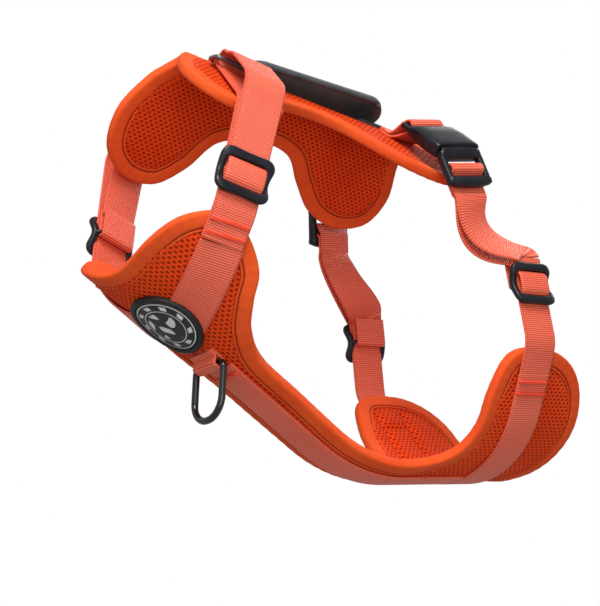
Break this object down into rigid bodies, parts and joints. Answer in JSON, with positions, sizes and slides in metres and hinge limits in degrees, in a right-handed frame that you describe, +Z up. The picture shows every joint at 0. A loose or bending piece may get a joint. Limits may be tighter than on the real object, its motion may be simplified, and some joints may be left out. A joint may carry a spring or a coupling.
{
  "type": "no pull dog harness",
  "caption": "Padded no pull dog harness with air mesh panels, webbing straps, two side release buckles, top handle and front leash ring.",
  "frame": {"origin": "middle of the dog's chest, on the harness's centre plane", "axes": "+X towards the dog's tail, +Y towards the dog's right side, +Z up to the handle"},
  "size_m": [0.3051, 0.156, 0.2411],
  "materials": {
    "orange_air_mesh": "knitted air mesh with small holes",
    "orange_binding": "woven tape, stitched",
    "lining_mesh": "fine soft mesh",
    "foam": "open cell padding",
    "coral_webbing": "ribbed nylon webbing",
    "orange_thread": "dense stitching",
    "black_padded_cloth": "smooth padded cloth",
    "black_cloth": "woven",
    "black_rubber": "moulded, satin",
    "grey_rubber": "moulded, matte",
    "black_plastic": "moulded, fine texture",
    "black_gloss_steel": "gloss black",
    "grey_steel": "satin dark grey"
  },
  "bodies": {
    "harness": {"back_lining": "lining_mesh", "back_foam": "foam", "back_mesh": "orange_air_mesh", "back_binding": "orange_binding", "chest_lining": "lining_mesh", "chest_foam": "foam", "chest_mesh": "orange_air_mesh", "chest_binding": "orange_binding", "belly_cross_webbing": "coral_webbing", "belly_centre_webbing": "coral_webbing", "badge_rim": "black_rubber", "badge_face": "grey_rubber", "leash_keeper": "coral_webbing", "handle_tabs": "black_cloth", "bar_tacks": "orange_thread", "shoulder_strap_left": "coral_webbing", "shoulder_strap_right": "coral_webbing", "shoulder_tail_left": "coral_webbing", "shoulder_tail_right": "coral_webbing", "shoulder_ring_left": "grey_steel", "shoulder_ring_right": "grey_steel", "ring_keeper_left": "coral_webbing", "ring_keeper_right": "coral_webbing", "girth_strap_left": "coral_webbing", "girth_strap_right": "coral_webbing", "buckle_socket_left": "black_plastic", "buckle_socket_right": "black_plastic", "buckle_keeper_left": "coral_webbing", "buckle_keeper_right": "coral_webbing", "girth_loop_left": "coral_webbing", "girth_loop_right": "coral_webbing", "girth_tail_left": "coral_webbing", "girth_tail_right": "coral_webbing", "lobe_webbing_left": "coral_webbing", "lobe_webbing_right": "coral_webbing"},
    "handle": {"handle_grip": "black_padded_cloth", "handle_piping": "black_cloth"},
    "leash_ring": {"leash_ring": "black_gloss_steel"},
    "shoulder_slider_left": {"shoulder_slider_left": "black_plastic", "shoulder_slider_webbing_left": "coral_webbing"},
    "girth_slider_left": {"girth_slider_left": "black_plastic", "girth_slider_webbing_left": "coral_webbing"},
    "plug_left": {"buckle_plug_left": "black_plastic", "plug_webbing_left": "coral_webbing"},
    "front_arm_left": {"buckle_front_arm_left": "black_plastic"},
    "rear_arm_left": {"buckle_rear_arm_left": "black_plastic"},
    "shoulder_slider_right": {"shoulder_slider_right": "black_plastic", "shoulder_slider_webbing_right": "coral_webbing"},
    "girth_slider_right": {"girth_slider_right": "black_plastic", "girth_slider_webbing_right": "coral_webbing"},
    "plug_right": {"buckle_plug_right": "black_plastic", "plug_webbing_right": "coral_webbing"},
    "front_arm_right": {"buckle_front_arm_right": "black_plastic"},
    "rear_arm_right": {"buckle_rear_arm_right": "black_plastic"}
  },
  "joints": [
    {"name": "handle_swing", "type": "hinge", "parent": "harness", "child": "handle", "pos_m": [0, 0, 0.113], "axis": [1, 0, 0], "range_deg": [-20, 20], "stiffness_Nm_per_rad": 0.05},
    {"name": "leash_ring_swing", "type": "hinge", "parent": "harness", "child": "leash_ring", "pos_m": [-0.06117, 0, -0.05242], "axis": [0, 1, 0], "range_deg": [-45, 100]},
    {"name": "shoulder_slider_travel_left", "type": "slide", "parent": "harness", "child": "shoulder_slider_left", "axis": [0.1312, -0.1268, 0.9832], "range_m": [-0.006, 0.012], "deforming": ["shoulder_tail_left"]},
    {"name": "girth_slider_travel_left", "type": "slide", "parent": "harness", "child": "girth_slider_left", "axis": [-0.1905, 0.0523, 0.9803], "range_m": [-0.006, 0.012], "deforming": ["girth_tail_left", "girth_loop_left"]},
    {"name": "buckle_release_left", "type": "slide", "parent": "harness", "child": "plug_left", "axis": [0.1392, -0.7123, -0.6879], "range_m": [0, 0.032], "deforming": ["girth_loop_left", "girth_tail_left", "buckle_front_arm_left", "buckle_rear_arm_left"]},
    {"name": "front_arm_press_left", "type": "hinge", "parent": "plug_left", "child": "front_arm_left", "pos_m": [0.05528, -0.058, 0.09475], "axis": [0.2563, 0.6969, -0.6698], "range_deg": [0, 9], "stiffness_Nm_per_rad": 0.4},
    {"name": "rear_arm_press_left", "type": "hinge", "parent": "plug_left", "child": "rear_arm_left", "pos_m": [0.07996, -0.06014, 0.10196], "axis": [-0.2563, -0.6969, 0.6698], "range_deg": [0, 9], "stiffness_Nm_per_rad": 0.4},
    {"name": "shoulder_slider_travel_right", "type": "slide", "parent": "harness", "child": "shoulder_slider_right", "axis": [0.1312, 0.1268, 0.9832], "range_m": [-0.006, 0.012], "deforming": ["shoulder_tail_right"]},
    {"name": "girth_slider_travel_right", "type": "slide", "parent": "harness", "child": "girth_slider_right", "axis": [-0.1905, -0.0523, 0.9803], "range_m": [-0.006, 0.012], "deforming": ["girth_tail_right", "girth_loop_right"]},
    {"name": "buckle_release_right", "type": "slide", "parent": "harness", "child": "plug_right", "axis": [0.1392, 0.7123, -0.6879], "range_m": [0, 0.032], "deforming": ["girth_loop_right", "girth_tail_right", "buckle_front_arm_right", "buckle_rear_arm_right"]},
    {"name": "front_arm_press_right", "type": "hinge", "parent": "plug_right", "child": "front_arm_right", "pos_m": [0.05528, 0.058, 0.09475], "axis": [-0.2563, 0.6969, 0.6698], "range_deg": [0, 9], "stiffness_Nm_per_rad": 0.4},
    {"name": "rear_arm_press_right", "type": "hinge", "parent": "plug_right", "child": "rear_arm_right", "pos_m": [0.07996, 0.06014, 0.10196], "axis": [0.2563, -0.6969, -0.6698], "range_deg": [0, 9], "stiffness_Nm_per_rad": 0.4}
  ],
  "couplings": [
    {"joint": "rear_arm_press_left", "follows": "front_arm_press_left", "ratio": 1},
    {"joint": "rear_arm_press_right", "follows": "front_arm_press_right", "ratio": 1}
  ]
}
